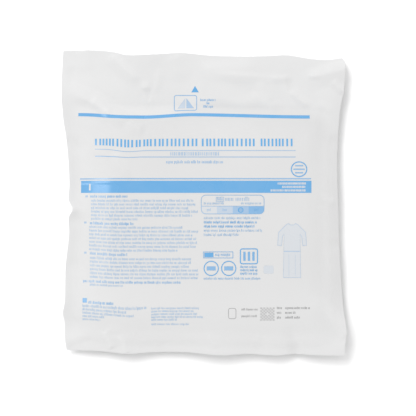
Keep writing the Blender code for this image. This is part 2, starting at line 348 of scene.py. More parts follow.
# %% Creases of the head flaps
FLAP_CREASES = table(
    Crease,
    (((-96, 149), (-88, 142), (-80, 134), (-71, 126), (-63, 119)), 2.1, 7, 10, 0.8, 0.2, 0.25),
    (((-56, 113), (-55, 107), (-53.5, 101)), -0.8, 3.5, 3.5, 0.7, 0.4, 0.4),
    (((-64, 116), (-58, 115.3), (-52, 116)), 1.7, 7, 4, 0.7, 0.4, 0.4),
    (((-45, 136), (-46, 122), (-49, 108)), 0.9, 6, 4, 0.6, 0.4, 0.3),
    (((-59, 109), (-58.3, 100), (-57, 88)), 0.8, 2.5, 3, 0.9, 0.3, 0.4),
    (((-52, 109), (-53.6, 100), (-52, 90)), 0.8, 2.5, 2.5, 0.9, 0.3, 0.4),
    (((-133, 139), (-132.5, 127), (-131, 115)), -1.0, 6, 6, 0.6, 0.4, 0.4),
    (
        ((-138, 108.5), (-128, 107.5), (-120, 104.5), (-111, 100), (-103, 95.5), (-91, 86.5),
         (-80, 78.5), (-74, 73.5)),
        3.2, 13, 8, 0.8, 0.3, 0.2,
    ),
    (((-116, 102), (-108, 98.5), (-100, 93.5), (-91, 87)), 2.2, 13, 6, 0.8, 0.3, 0.3),
    (((6, 129.3), (21, 127.7), (37, 126.4), (58, 125.4), (84, 124.7)), 1.1, 4.5, 8, 0.7, 0.25, 0.5),
    (((-10, 133), (12, 132), (30, 132), (60, 140)), 2.7, 12, 24, 0.5, 0.25, 0.35),
    (((64, 125), (76, 124.3), (86, 124.7)), 1.5, 4, 6, 0.8, 0.4, 0.3),
    (((84, 126), (86, 119), (89, 109)), -1.7, 6, 4, 0.8, 0.4, 0.3),
    (((86, 117), (90.5, 108.5), (97, 102), (108, 95)), 1.7, 6, 5.5, 0.8, 0.35, 0.3),
    (((101, 128), (109, 126.3), (118, 127)), 1.5, 8, 4, 0.75, 0.4, 0.4),
    (((97, 121.5), (112, 125.5), (124, 129), (145, 133.8)), 4.2, 11, 13, 0.75, 0.5, 0.02),
    (((127, 122), (134, 115.5), (140, 109)), 2.2, 6, 5, 0.8, 0.3, 0.2),
    (((52, 122), (60, 111), (70, 100)), 1.1, 6, 6, 0.6, 0.3, 0.3),
    (((44, 110.5), (60, 100.5), (77, 90)), 2.0, 9, 12, 0.6, 0.3, 0.3),
    (((0, 112), (28, 102), (56, 93)), 1.5, 14, 11, 0.4, 0.3, 0.3),
    (((112, 101), (120, 96), (130, 88)), 1.1, 6, 6, 0.6, 0.4, 0.4),
    (((-30, 150), (-24, 132), (-28, 118)), 1.2, 12, 12, 0.3, 0.2, 0.4),
    (((-122, 153), (-118, 140), (-121, 128)), 0.9, 9, 9, 0.4, 0.1, 0.5),
)

# %% Creases round the pocket
POCKET_CREASES = table(
    Crease,
    (((-78, 81), (-68, 76), (-57, 73)), 2.4, 7, 11, 0.7, 0.35, 0.3),
    (((-91, 51), (-86, 45), (-76, 30), (-70, 22)), 1.6, 7, 8, 0.75, 0.3, 0.35),
    (((-90, 48), (-92, 0), (-91, -84)), 0.8, 16, 12, 0.4, 0.2, 0.2),
    (((-137, -6.8), (-124, -7), (-105, -8.8)), 1.2, 8, 8, 0.75, 0.25, 0.3),
    (((-136, -19), (-124, -17), (-112, -14)), -0.9, 7, 8, 0.6, 0.1, 0.5),
    (((-136, -144.5), (-126, -141.5), (-113, -137), (-106, -133)), -1.1, 6, 8, 0.8, 0.1, 0.35),
    (((-100, -127), (-96, -135), (-92, -146)), 1.9, 8, 5, 0.75, 0.2, 0.1),
    (((-84, -129), (-80, -138), (-77, -151)), 1.7, 6, 6, 0.75, 0.3, 0.05),
    (((-101, -126), (-88, -126.5), (-76, -128)), 1.4, 6, 4, 0.8, 0.4, 0.4),
    (((-70, -127), (-69, -133), (-69, -139)), 0.8, 3, 3, 0.8, 0.4, 0.4),
    (((113, 5), (122, 3.5), (132, 0)), 1.6, 5, 5, 0.8, 0.35, 0.2),
    (((82, -121), (87, -134), (92, -153)), -2.2, 7, 7, 0.7, 0.35, 0.05),
    (((104, -92), (118, -109), (144, -133)), 2.1, 12, 10, 0.6, 0.3, 0.05),
    (((3, -128), (9, -137), (13, -146)), 0.9, 7, 5, 0.5, 0.4, 0.2),
    (((60, -128), (54, -140), (52, -153)), -0.9, 7, 7, 0.6, 0.4, 0.05),
    (((-40, -132), (-43, -142), (-44, -152)), -0.9, 7, 7, 0.6, 0.4, 0.05),
    (((136, -40), (125, -44), (116, -45)), -1.0, 8, 8, 0.6, 0.1, 0.5),
    (((136, 62), (126, 60), (117, 61)), -1.1, 8, 8, 0.6, 0.1, 0.5),
    (((-138, 62), (-126, 57), (-112, 55)), -1.0, 9, 9, 0.6, 0.1, 0.5),
    (((-139, -64), (-127, -60), (-114, -60)), -0.9, 9, 9, 0.6, 0.1, 0.5),
)

# %% [markdown]
# ## The back film
#
# The back isn't printed and lies on the table, where it is flat. It shows only when the
# pack is turned over. Its seals and its flap follow the front film, because the two are
# joined there, and its pocket has creases of its own: short ones that run in from the
# seals, and shallow ones pressed up off the table under the gown.

# %% Creases of the back
BACK_CREASES = table(
    Crease,
    (((-138, -90), (-122, -84), (-108, -82)), 1.6, 9, 9, 0.6, 0.1, 0.4),
    (((-138, 20), (-124, 24), (-110, 23)), 1.4, 8, 9, 0.6, 0.1, 0.4),
    (((136, -76), (124, -70), (112, -69)), 1.5, 8, 8, 0.6, 0.1, 0.4),
    (((135, 30), (124, 33), (114, 31)), 1.3, 8, 8, 0.6, 0.1, 0.4),
    (((-60, -152), (-56, -138), (-58, -124)), 1.5, 8, 9, 0.6, 0.05, 0.4),
    (((30, -153), (34, -140), (31, -126)), 1.4, 9, 8, 0.6, 0.05, 0.4),
    (((-118, 96), (-104, 84), (-92, 74)), 1.9, 10, 9, 0.6, 0.2, 0.4),
    (((118, 92), (106, 80), (96, 68)), 1.7, 9, 10, 0.6, 0.2, 0.4),
    (((-20, 96), (-18, 84), (-24, 72)), 1.2, 8, 8, 0.5, 0.2, 0.4),
    (((48, 96), (52, 82), (49, 70)), 1.1, 8, 8, 0.5, 0.2, 0.4),
    (((-86, 40), (-40, 22), (18, 16)), 0.7, 10, 8, 0.5, 0.3, 0.4),
    (((70, -20), (30, -44), (-30, -52)), 0.6, 8, 10, 0.5, 0.3, 0.4),
    (((-70, -60), (-62, -84), (-66, -104)), 0.6, 8, 8, 0.5, 0.3, 0.4),
    (((84, 60), (76, 34), (80, 8)), 0.5, 8, 8, 0.5, 0.3, 0.4),
)

# %% [markdown]
# ## Soft unevenness
#
# Between its creases film is never quite flat. Three octaves of Blender's own Perlin
# noise give broad, low swellings, and folding the noise at zero turns some of them into
# faint crease lines. The loose flaps and margins get the most, the tight pocket least.

# %% Soft unevenness of the film
BROAD, MIDDLE, FINE = (14, 17), (34, 30), (80, 74)
MIDDLE_SHARE, FINE_SHARE = 0.45, 0.12


def noise_at(place, scale, seed):
    return noise.noise(Vector((place[0] * scale[0], place[1] * scale[1], seed)))


def unevenness(x, y, seed):
    """Broad soft swellings with faint crease lines, about one unit high."""
    flat = np.empty(x.size)
    for index, place in enumerate(zip(x.ravel(), y.ravel())):
        folded = 0.5 - abs(noise_at(place, MIDDLE, seed + 7))
        fine = noise_at(place, FINE, seed + 13)
        flat[index] = noise_at(place, BROAD, seed) + MIDDLE_SHARE * folded + FINE_SHARE * fine
    return flat.reshape(x.shape)


TIGHT, LOOSE = 0.35 * MM, 1.7 * MM
x, y = seam[..., 0], seam[..., 1]
looseness = TIGHT + (LOOSE - TIGHT) * (1 - front_share)
shared = relief(FLAP_CREASES, x, y) + looseness * unevenness(x, y, 3)

# %% [markdown]
# ## The two film surfaces
#
# At the seals the films lie on each other. Above the head seal they are free and part a
# little, more at some places than at others. Each surface here is the outer face of its
# film, and the film's thickness is added towards the inside later.

# %% Surfaces of the two films
PARTING = 1.6 * MM
PARTING_POWER = 1.5
SEAL_SLACK = 0.06 * MM
LEAST_GAP = 0.2 * MM
RIPPLE = 0.45
EVEN_SHOW_AND_SHADE, UNEVEN_SHOW_AND_SHADE = 0.9, 0.2

flap = HEAD_SEAL_FROM_HEAD / CUT_LENGTH
on_flap = np.clip((up - 1 + flap) / flap, 0, 1)
ripple = 1 - RIPPLE + RIPPLE * np.sin(across * 17 + 1.1) * np.cos(across * 7)
parting = PARTING * on_flap**PARTING_POWER * ripple
bow = (1 - (2 * across - 1) ** 2) * np.sin(np.pi * up)
crown = PACK_HEIGHT - CROWN * (1 - bow)

pocket = relief(POCKET_CREASES, x, y)
front = seam.copy()
on_seam = seam[..., 2] + FILM + SEAL_SLACK + parting / 2
front[..., 2] = on_seam + (crown - on_seam) * front_share + shared + pocket

back = seam.copy()
off_seam = seam[..., 2] - FILM - SEAL_SLACK - parting / 2
on_margin = 1 - back_share
back[..., 2] = off_seam * on_margin + (shared + pocket) * on_margin**2
back[..., 2] += relief(BACK_CREASES, x, y) * np.clip(1.2 * back_share, 0, 1)
back[..., 2] = np.maximum(back[..., 2], 0)
front[..., 2] = np.maximum(front[..., 2], back[..., 2] + 2 * FILM + LEAST_GAP)

# The film's grey, show-through and painted shade together, made a little uneven at random.
front_show_and_shade = smooth_show_and_shade * (EVEN_SHOW_AND_SHADE + UNEVEN_SHOW_AND_SHADE * unevenness(x, y, 21))
# The back is greyer where the gown lies on it: partly show-through and partly painted shade.
back_show_and_shade = FREE + (LYING - FREE) * ease((back_share - 0.5) / 0.5)
middle = np.array([(front[..., k].min() + front[..., k].max()) / 2 for k in (0, 1)])
front[..., :2] -= middle
back[..., :2] -= middle
print("front film to", round(float(front[..., 2].max()) / MM, 1), "mm above the table")

# %% [markdown]
# ## Making the film
#
# A grid with one vertex for each share is laid on a surface. The grid brings a UV map
# with it, which is the flat cut of the film, so that finishes can follow the sheet. The
# back one is turned over to face down. Solidify then gives each its thickness towards
# the inside of the pouch, and its thin rim is marked sharp so that it doesn't blur the
# shading of the wide faces.

# %% A sheet of film
RIM_ANGLE = math.radians(55)


def in_scene(name, shape, material):
    """A mesh object of this bmesh, shaded smooth, in the scene's collection."""
    mesh = bpy.data.meshes.new(name)
    shape.to_mesh(mesh)
    shape.free()
    mesh.materials.append(material)
    mesh.shade_smooth()
    piece = bpy.data.objects.new(name, mesh)
    bpy.context.scene.collection.objects.link(piece)
    return piece


def thickened(piece, thickness):
    """The piece with a wall added behind its faces, applied to its mesh."""
    wall = piece.modifiers.new("thickness", "SOLIDIFY")
    wall.thickness = thickness
    wall.offset = -1
    wall.use_even_offset = False
    graph = bpy.context.evaluated_depsgraph_get()
    piece.data = bpy.data.meshes.new_from_object(piece.evaluated_get(graph))
    piece.modifiers.clear()
    piece.data.set_sharp_from_angle(angle=RIM_ANGLE)
    return piece


def film_sheet(name, outer, show_and_shade, faces_up, material):
    """A sheet of film with its outer face on this surface, and its grey of show-through and painted
    shade.
    """
    shape = bmesh.new()
    cut = shape.loops.layers.uv.new("cut")
    show_and_shade_layer = shape.verts.layers.float.new("show_and_shade")
    bmesh.ops.create_grid(shape, x_segments=CELLS_ACROSS, y_segments=CELLS_UP, size=0.5)
    for vertex in shape.verts:
        column = round((vertex.co.x + 0.5) * CELLS_ACROSS)
        row = round((vertex.co.y + 0.5) * CELLS_UP)
        for loop in vertex.link_loops:
            loop[cut].uv = across_lines[column], up_lines[row]
        vertex.co = outer[row, column]
        vertex[show_and_shade_layer] = show_and_shade[row, column]
    if not faces_up:
        bmesh.ops.reverse_faces(shape, faces=shape.faces)
    piece = thickened(in_scene(name, shape, material), FILM)
    print(name, len(piece.data.polygons), "faces")
    return piece


# %% [markdown]
# ## Film and ink
#
# The film is white polyethylene: opaque, satin rather than glossy, and rolled, so very
# faint lines run along it. Its seals were pressed between warm jaws, which left them a
# little smoother and cross-ribbed. The ink lies in the film's surface and shares its
# sheen. A tint is the same ink in fine dots, so each printed face carries a strength
# from 0 to 1, and the shader mixes the ink into the white by it.

# %% Node helpers
Nodes = namedtuple("Nodes", "tree surface")


def new_finish(name, colour, roughness, specular):
    """A material with its Principled shader's own sockets set, for nodes to build on."""
    material = bpy.data.materials.new(name)
    material.use_nodes = True
    tree = material.node_tree
    surface = tree.nodes["Principled BSDF"]
    surface.inputs["Base Color"].default_value = (*colour, 1)
    surface.inputs["Roughness"].default_value = roughness
    surface.inputs["Specular IOR Level"].default_value = specular
    return material, Nodes(tree, surface)


def node(tree, kind, inputs=None, **settings):
    """A node of this kind, with its settings, and its inputs set or linked."""
    made = tree.nodes.new(kind)
    for key, value in settings.items():
        setattr(made, key, value)
    for key, value in (inputs or {}).items():
        if isinstance(value, bpy.types.NodeSocket):
            tree.links.new(value, made.inputs[key])
        else:
            made.inputs[key].default_value = value
    return made


def maths(tree, operation, *values):
    made = node(tree, "ShaderNodeMath", dict(enumerate(values)), operation=operation)
    return made.outputs[0]


def noise_on(tree, place, scale, detail=2.0, roughness=0.5):
    inputs = {"Vector": place, "Scale": scale, "Detail": detail, "Roughness": roughness}
    return node(tree, "ShaderNodeTexNoise", inputs).outputs["Fac"]


def stretched(tree, place, scale):
    """Coordinates that are stretched by this much along each axis."""
    return node(tree, "ShaderNodeMapping", {"Vector": place, "Scale": scale}).outputs[0]


def mixed_colour(tree, share, first, second):
    """The first colour, or the second where the share is 1. Either may be a socket."""
    mix = node(tree, "ShaderNodeMix", {"Factor": share}, data_type="RGBA")
    for number, colour in ((6, first), (7, second)):
        if isinstance(colour, bpy.types.NodeSocket):
            tree.links.new(colour, mix.inputs[number])
        else:
            mix.inputs[number].default_value = (*colour, 1)
    return mix.outputs[2]


# %% White film
WHITE_CLEAR = (0.801, 0.801, 0.801)
# The greyer white is partly show-through of the gown and partly painted shade.
WHITE_SHOW_THROUGH_AND_SHADE = (0.692, 0.692, 0.694)
FILM_ROUGHNESS = 0.40
FILM_SPECULAR = 0.4
ROUGHNESS_SPREAD, SEAL_SMOOTHER = 0.06, 0.06
ROLL_LINES = (420, 9, 1)
CRINKLE_SCALE = 210
PATCH_SCALE = 26
RIB_PITCH = 1.6 * MM
ROLL_HEIGHT, CRINKLE_HEIGHT, RIB_HEIGHT = 0.05, -0.5, 0.03
FILM_BUMP, FILM_BUMP_STRENGTH = 0.4 * MM, 0.35


def seal_mask(tree, cut):
    """1 on the seals and 0 off them, from the film's own flat cut."""
    axes = node(tree, "ShaderNodeSeparateXYZ", {"Vector": cut})
    right, ahead = axes.outputs["X"], axes.outputs["Y"]
    side = SEAL_WIDTH / CUT_WIDTH
    foot = SEAL_WIDTH / CUT_LENGTH
    head = 1 - HEAD_SEAL_FROM_HEAD / CUT_LENGTH
    on_left = maths(tree, "LESS_THAN", right, side)
    on_right = maths(tree, "GREATER_THAN", right, 1 - side)
    on_foot = maths(tree, "LESS_THAN", ahead, foot)
    below = maths(tree, "LESS_THAN", ahead, head + foot)
    above = maths(tree, "GREATER_THAN", ahead, head)
    sides = maths(tree, "MAXIMUM", on_left, on_right)
    return maths(
        tree,
        "MAXIMUM",
        maths(tree, "MULTIPLY", maths(tree, "MAXIMUM", sides, on_foot), below),
        maths(tree, "MULTIPLY", above, below),
    )


def film_white(tree):
    """The film's white, greyed by show-through and by painted shade, light and shadow."""
    show_and_shade = node(tree, "ShaderNodeAttribute", attribute_name="show_and_shade").outputs["Fac"]
    return mixed_colour(tree, show_and_shade, WHITE_CLEAR, WHITE_SHOW_THROUGH_AND_SHADE)


def film_surface(material, nodes, roughness):
    """Adds the white, the roll's faint lines, fine crinkle and ribbed seals to a finish."""
    tree, surface = nodes
    tree.links.new(film_white(tree), surface.inputs["Base Color"])
    coordinates = node(tree, "ShaderNodeTexCoord").outputs
    place, cut = coordinates["Object"], coordinates["UV"]
    roll = noise_on(tree, stretched(tree, cut, ROLL_LINES), 1, 3)
    crinkle = noise_on(tree, place, CRINKLE_SCALE, 4, 0.55)
    folded = maths(tree, "ABSOLUTE", maths(tree, "SUBTRACT", crinkle, 0.5))
    seal = seal_mask(tree, cut)
    axes = node(tree, "ShaderNodeSeparateXYZ", {"Vector": cut})
    turns = maths(tree, "MULTIPLY", axes.outputs["Y"], CUT_LENGTH / RIB_PITCH * math.tau)
    ribs = maths(tree, "MULTIPLY", maths(tree, "SINE", turns), seal)
    height = maths(tree, "MULTIPLY", roll, ROLL_HEIGHT)
    height = maths(tree, "ADD", height, maths(tree, "MULTIPLY", folded, CRINKLE_HEIGHT))
    height = maths(tree, "ADD", height, maths(tree, "MULTIPLY", ribs, RIB_HEIGHT))
    bump = {"Height": height, "Strength": FILM_BUMP_STRENGTH, "Distance": FILM_BUMP}
    bumped = node(tree, "ShaderNodeBump", bump).outputs["Normal"]
    tree.links.new(bumped, surface.inputs["Normal"])
    patchy = noise_on(tree, place, PATCH_SCALE, 3)
    low, high = roughness - ROUGHNESS_SPREAD, roughness + ROUGHNESS_SPREAD
    rough = {"Value": patchy, "To Min": low, "To Max": high}
    rough = node(tree, "ShaderNodeMapRange", rough).outputs[0]
    rough = maths(tree, "SUBTRACT", rough, maths(tree, "MULTIPLY", seal, SEAL_SMOOTHER))
    tree.links.new(rough, surface.inputs["Roughness"])
    return material


film_parts = new_finish("white film", WHITE_CLEAR, FILM_ROUGHNESS, FILM_SPECULAR)
film = film_surface(*film_parts, FILM_ROUGHNESS)

# %% Blue and black ink
BLUE_INK = (0.122, 0.398, 0.735)
BLACK_INK = (0.05, 0.05, 0.055)
INK_ROUGHNESS = 0.27
INK_SPECULAR = 0.7
INK_PATCHES = 60
THIN_INK, THICK_INK = 0.92, 1.04


def ink_finish(name, colour):
    """Ink in the film: mixed into its white by each face's strength, a little uneven."""
    material, nodes = new_finish(name, colour, INK_ROUGHNESS, INK_SPECULAR)
    film_surface(material, nodes, INK_ROUGHNESS)
    tree, surface = nodes
    strength = node(tree, "ShaderNodeAttribute", attribute_name="strength").outputs["Fac"]
    place = node(tree, "ShaderNodeTexCoord").outputs["Object"]
    patchy = noise_on(tree, place, INK_PATCHES, 4)
    uneven = {"Value": patchy, "To Min": THIN_INK, "To Max": THICK_INK}
    uneven = node(tree, "ShaderNodeMapRange", uneven).outputs[0]
    amount = maths(tree, "MULTIPLY", strength, uneven)
    inked = mixed_colour(tree, amount, film_white(tree), colour)
    tree.links.new(inked, surface.inputs["Base Color"])
    return material


blue_ink = ink_finish("blue ink", BLUE_INK)
black_ink = ink_finish("black ink", BLACK_INK)

# %% The two films
front_film = film_sheet("front_film", front, front_show_and_shade, True, film)
back_film = film_sheet("back_film", back, back_show_and_shade, False, film)

# %% [markdown]
# ## The gown inside
#
# The pouch is opaque and sealed, so the gown shows only as the pack's shape. Its solid
# from the model stays, and gets the blue of pressed nonwoven: fibres that cross at
# random, and the small dots where they were bonded.

# %% Nonwoven for the gown
NONWOVEN_BLUE = (0.09, 0.28, 0.52)
BOND_PITCH = 1.5 * MM
BOND_HEIGHT = 0.8
FIBRE_STRETCH, FIBRE_SCALE = (1, 3, 1), 900


def nonwoven_finish():
    material, (tree, surface) = new_finish("blue nonwoven", NONWOVEN_BLUE, 0.85, 0.2)
    surface.inputs["Sheen Weight"].default_value = 0.3
    place = node(tree, "ShaderNodeTexCoord").outputs["Object"]
    fibres = noise_on(tree, stretched(tree, place, FIBRE_STRETCH), FIBRE_SCALE, 6, 0.7)
    bonds = node(tree, "ShaderNodeTexVoronoi", {"Vector": place, "Scale": 1 / BOND_PITCH})
    dots = maths(tree, "MULTIPLY", bonds.outputs["Distance"], BOND_HEIGHT)
    height = maths(tree, "ADD", fibres, dots)
    bump = {"Height": height, "Strength": 0.5, "Distance": 0.15 * MM}
    bumped = node(tree, "ShaderNodeBump", bump).outputs["Normal"]
    tree.links.new(bumped, surface.inputs["Normal"])
    return material


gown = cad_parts["folded_gown"]
gown.data.materials.clear()
gown.data.materials.append(nonwoven_finish())
print("gown keeps", len(gown.data.polygons), "faces of the model")

# %% [markdown]
# ## Print on the film
#
# Everything printed is cut flat first, in millimetres as it reads from above, out of
# small faces that can bend. Then each point drops onto the film below it. Creases also
# carry the print up or down in the view from above, and a short table says where. The
# wording and pictures of a real pack aren't drawn: a word is a run of upright strokes
# with the weight of type, and the pictures are plain shapes of like size and colour.

# %% Finding the film under a point
PRINT_LIFT = 0.10 * MM
PRINT_THICKNESS = 0.04 * MM
LAYER_STEP = 0.06 * MM
SEARCH_STEPS = 8


def read_grid(grid, u, v):
    """A grid's values between its points, at shares of the way across and up."""
    column = np.interp(u, across_lines, np.arange(CELLS_ACROSS + 1))
    row = np.interp(v, up_lines, np.arange(CELLS_UP + 1))
    left = np.minimum(column.astype(int), CELLS_ACROSS - 1)
    low = np.minimum(row.astype(int), CELLS_UP - 1)
    a, b = (column - left)[:, None], (row - low)[:, None]
    below = grid[low, left] * (1 - a) + grid[low, left + 1] * a
    above = grid[low + 1, left] * (1 - a) + grid[low + 1, left + 1] * a
    return below * (1 - b) + above * b


def film_under(places):
    """The front film's points under these places, their shares of the cut, and show-through and
    painted shade.
    """
    u, v = 0.5 + places[:, 0] / CUT_WIDTH, 0.5 + places[:, 1] / CUT_LENGTH
    for _ in range(SEARCH_STEPS):
        found = read_grid(front, u, v)
        u = u + (places[:, 0] - found[:, 0]) / CUT_WIDTH
        v = v + (places[:, 1] - found[:, 1]) / CUT_LENGTH
    return read_grid(front, u, v), u, v, read_grid(front_show_and_shade[..., None], u, v)[:, 0]


# %% Where the creases carry the print aside
Drift = namedtuple("Drift", "x y reach_x reach_y shift")
DRIFTS = table(
    Drift,
    (-60, 86, 50, 30, -2.6),
    (-93, 86, 30, 20, -1.2),
    (105, 86, 125, 25, -2.4),
    (-108, 51, 34, 14, 1.6),
    (-75, 54, 20, 14, -1.2),
    (-68, 62, 20, 8, -0.9),
    (-118, -55, 34, 75, 1.4),
    (-84, -109, 40, 15, -1.7),
    (-68, -109, 26, 15, -1.6),
)


def drifted(places):
    """The places after the creases have carried them up or down."""
    x, y = places[:, 0] / MM, places[:, 1] / MM
    moved = places.copy()
    for drift in DRIFTS:
        away = np.hypot((x - drift.x) / drift.reach_x, (y - drift.y) / drift.reach_y)
        moved[:, 1] += drift.shift * MM * ease(1 - away)
    return moved


# %% Flat pieces of print
CELL = 1.5


def add_part(shape, part, strength):
    """Adds a part to the print and gives its faces their ink strength."""
    layer = part.faces.layers.float.new("strength")
    for face in part.faces:
        face[layer] = strength
    mesh = bpy.data.meshes.new("part")
    part.to_mesh(mesh)
    part.free()
    shape.from_mesh(mesh)
    bpy.data.meshes.remove(mesh)


def cut_across(part, axis, at):
    """Cuts all of a part along a line across this axis."""
    point, normal = [0, 0, 0], [0, 0, 0]
    point[axis], normal[axis] = at, 1
    geom = part.verts[:] + part.edges[:] + part.faces[:]
    bmesh.ops.bisect_plane(part, geom=geom, plane_co=point, plane_no=normal)


def add_rectangle(part, left, right, foot, head, cell=CELL):
    """Adds a rectangle in millimetres, in cells small enough to bend."""
    columns = max(1, math.ceil((right - left) / cell))
    rows = max(1, math.ceil((head - foot) / cell))
    made = bmesh.ops.create_grid(part, x_segments=columns, y_segments=rows, size=0.5)
    for vertex in made["verts"]:
        vertex.co.x = left + (vertex.co.x + 0.5) * (right - left)
        vertex.co.y = foot + (vertex.co.y + 0.5) * (head - foot)


def block(shape, left, right, foot, head, strength=1.0):
    part = bmesh.new()
    add_rectangle(part, left, right, foot, head)
    add_part(shape, part, strength)


def windowed_block(shape, left, right, foot, head, windows, strength=1.0):
    """A block with bare windows in it, each given as left, right, foot and head."""
    part = bmesh.new()
    add_rectangle(part, left, right, foot, head)
    for window in windows:
        for axis, at in zip((0, 0, 1, 1), window):
            cut_across(part, axis, at)
    bare = []
    for face in part.faces:
        x, y, _ = face.calc_center_median()
        if any(w[0] < x < w[1] and w[2] < y < w[3] for w in windows):
            bare.append(face)
    bmesh.ops.delete(part, geom=bare, context="FACES")
    add_part(shape, part, strength)


def ring(shape, x, y, width, height, stroke, strength=1.0):
    """A round or oval ring of print."""
    part = bmesh.new()
    bmesh.ops.create_circle(part, cap_ends=True, radius=0.5, segments=40)
    for vertex in part.verts:
        vertex.co.x, vertex.co.y = x + vertex.co.x * width, y + vertex.co.y * height
    inner = part.faces[:]
    bmesh.ops.inset_region(part, faces=inner, thickness=stroke, use_boundary=True)
    bmesh.ops.delete(part, geom=inner, context="FACES")
    add_part(shape, part, strength)


def filled(shape, corners, strength=1.0, stroke=None):
    """An outline of print from its corners in order, filled or as a line of this stroke."""
    part = bmesh.new()
    part.faces.new([part.verts.new((x, y, 0)) for x, y in corners]).normal_update()
    if stroke:
        inner = part.faces[:]
        bmesh.ops.inset_region(part, faces=inner, thickness=stroke, use_boundary=True)
        bmesh.ops.delete(part, geom=inner, context="FACES")
    for axis in (0, 1):
        low, high = min(c[axis] for c in corners), max(c[axis] for c in corners)
        for step in range(1, math.ceil((high - low) / CELL)):
            cut_across(part, axis, low + step * CELL)
    add_part(shape, part, strength)


def frame_of(shape, left, right, foot, head, stroke, strength=1.0):
    """A rectangular outline of print with this stroke."""
    inside = (left + stroke, right - stroke, foot + stroke, head - stroke)
    windowed_block(shape, left, right, foot, head, [inside], strength)


# %% Words as runs of strokes
STROKE_SHARE = 0.235
BOLD = 0.42
PITCH_SHARE, STROKE_WIDTH = 0.5, 1.25
SPACINGS = (0.85, 1.0, 1.15)
WORD_GAP = 0.9
TALLER, TALLER_ODDS = (0.0, 0.35, -0.3), (0.74, 0.19, 0.07)
TextLine = namedtuple("TextLine", "left right y height weight")
rng = np.random.default_rng(5)


def words(shape, line, strength=1.0, capitals=False):
    """A line of made-up words: upright strokes of uneven height, with gaps between words."""
    part = bmesh.new()
    pitch = PITCH_SHARE * line.height
    width = line.weight * pitch * STROKE_WIDTH
    foot = line.y - line.height / 2
    x = line.left
    while x < line.right - width:
        for _ in range(99 if capitals else rng.integers(3, 11)):
            if x > line.right - width:
                break
            tall = 0.0 if capitals else rng.choice(TALLER, p=TALLER_ODDS)
            low = foot + min(0, tall) * line.height
            add_rectangle(part, x, x + width, low, foot + (1 + max(0, tall)) * line.height)
            x += pitch * rng.choice(SPACINGS)
        x += WORD_GAP * pitch
    add_part(shape, part, strength)


def set_lines(shape, *lines):
    """Sets lines of words, each a row of the columns of a text line."""
    for line in table(TextLine, *lines):
        words(shape, line)


# %% Pressing the print on
def pressed_on(name, shape, material, layer=0):
    """Drops flat print on the film or on an earlier layer, and gives it the ink's thickness."""
    for vertex in shape.verts:
        vertex.co *= MM
    flat = np.array([vertex.co[:] for vertex in shape.verts])
    points, u, v, show_and_shade = film_under(drifted(flat))
    show_and_shade_layer = shape.verts.layers.float.new("show_and_shade")
    # The print takes the film's grey of show-through and painted shade from under it.
    for vertex, point, show_and_shade_here in zip(shape.verts, points, show_and_shade):
        vertex.co = (point[0], point[1], point[2] + PRINT_LIFT + layer * LAYER_STEP)
        vertex[show_and_shade_layer] = show_and_shade_here
    cut = shape.loops.layers.uv.new("cut")
    shape.verts.index_update()
    for face in shape.faces:
        face.normal_update()
        if face.normal.z < 0:
            face.normal_flip()
        for loop in face.loops:
            loop[cut].uv = u[loop.vert.index], v[loop.vert.index]
    piece = thickened(in_scene(name, shape, material), PRINT_THICKNESS)
    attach(piece, "root")
    print(name, len(piece.data.polygons), "faces")
    return piece


# %% [markdown]
# ## Rules and the colour band
#
# A heavy rule crosses the pack under the head seal, thin ones part the title, and a
# solid band closes the heading. The marks on it are reversed out, which means that they
# are bare film. The large one is a window cut in the band. The words are too small for
# that, so they are laid on the ink in the film's own white.

# %% Rules and band
RULE_LEFT, RULE_RIGHT = -125.3, 105.7
TITLE_LEFT, TITLE_RIGHT = -108.1, 91.0
BAND = (-122.6, 106.7, 9.7, 21.7)
BAND_WINDOW = (-114.4, -112.7, 12.2, 18.7)

rules = bmesh.new()
block(rules, RULE_LEFT, RULE_RIGHT, 86.3, 89.5)
for height, strength in ((51.3, 0.64), (44.9, 0.84)):
    block(rules, TITLE_LEFT, TITLE_RIGHT, height, height + 0.6, strength)
block(rules, -123.6, 106.4, 23.1, 24.3, 0.75)
windowed_block(rules, *BAND, [BAND_WINDOW])
print_rules = pressed_on("print_rules", rules, blue_ink)

# %% Small white words on the band
reversed_words = bmesh.new()
for left, y in ((73.2, 19.0), (77.6, 15.6), (66.2, 12.1)):
    words(reversed_words, TextLine(left, 101.2, y, 2.1, 0.5), strength=0.0, capitals=True)
print_reversed = pressed_on("print_reversed", reversed_words, film, layer=1)

# %% [markdown]
# ## Title and wording
#
# The title is bold, as tall as a fingernail, in three words. Below it are two small
# lines, and the wording runs down the left side in three paragraphs with headings.

# %% Title
title = bmesh.new()
for left, right, y, height, weight in (
    (TITLE_LEFT, -5.4, 59.7, 7.6, 0.37),
    (-1.9, 52.6, 59.7, 7.6, 0.37),
    (56.4, 91.6, 59.7, 7.6, 0.37),
    (-32.8, 15.7, 48.35, 3.5, 0.2),
):
    words(title, TextLine(left, right, y, height, weight), capitals=True)
set_lines(title, (-37.0, 19.0, 40.0, 2.2, 0.3))
print_title = pressed_on("print_title", title, blue_ink)

# %% Paragraphs
TYPE_HEIGHT = 1.9
MARK = 2.5


def paragraph(left, first, pitch, ends, height=TYPE_HEIGHT):
    """Lines of type from one left edge, each ending at its own place."""
    return [
        (left, end, first - index * pitch, height, STROKE_SHARE)
        for index, end in enumerate(ends)
    ]


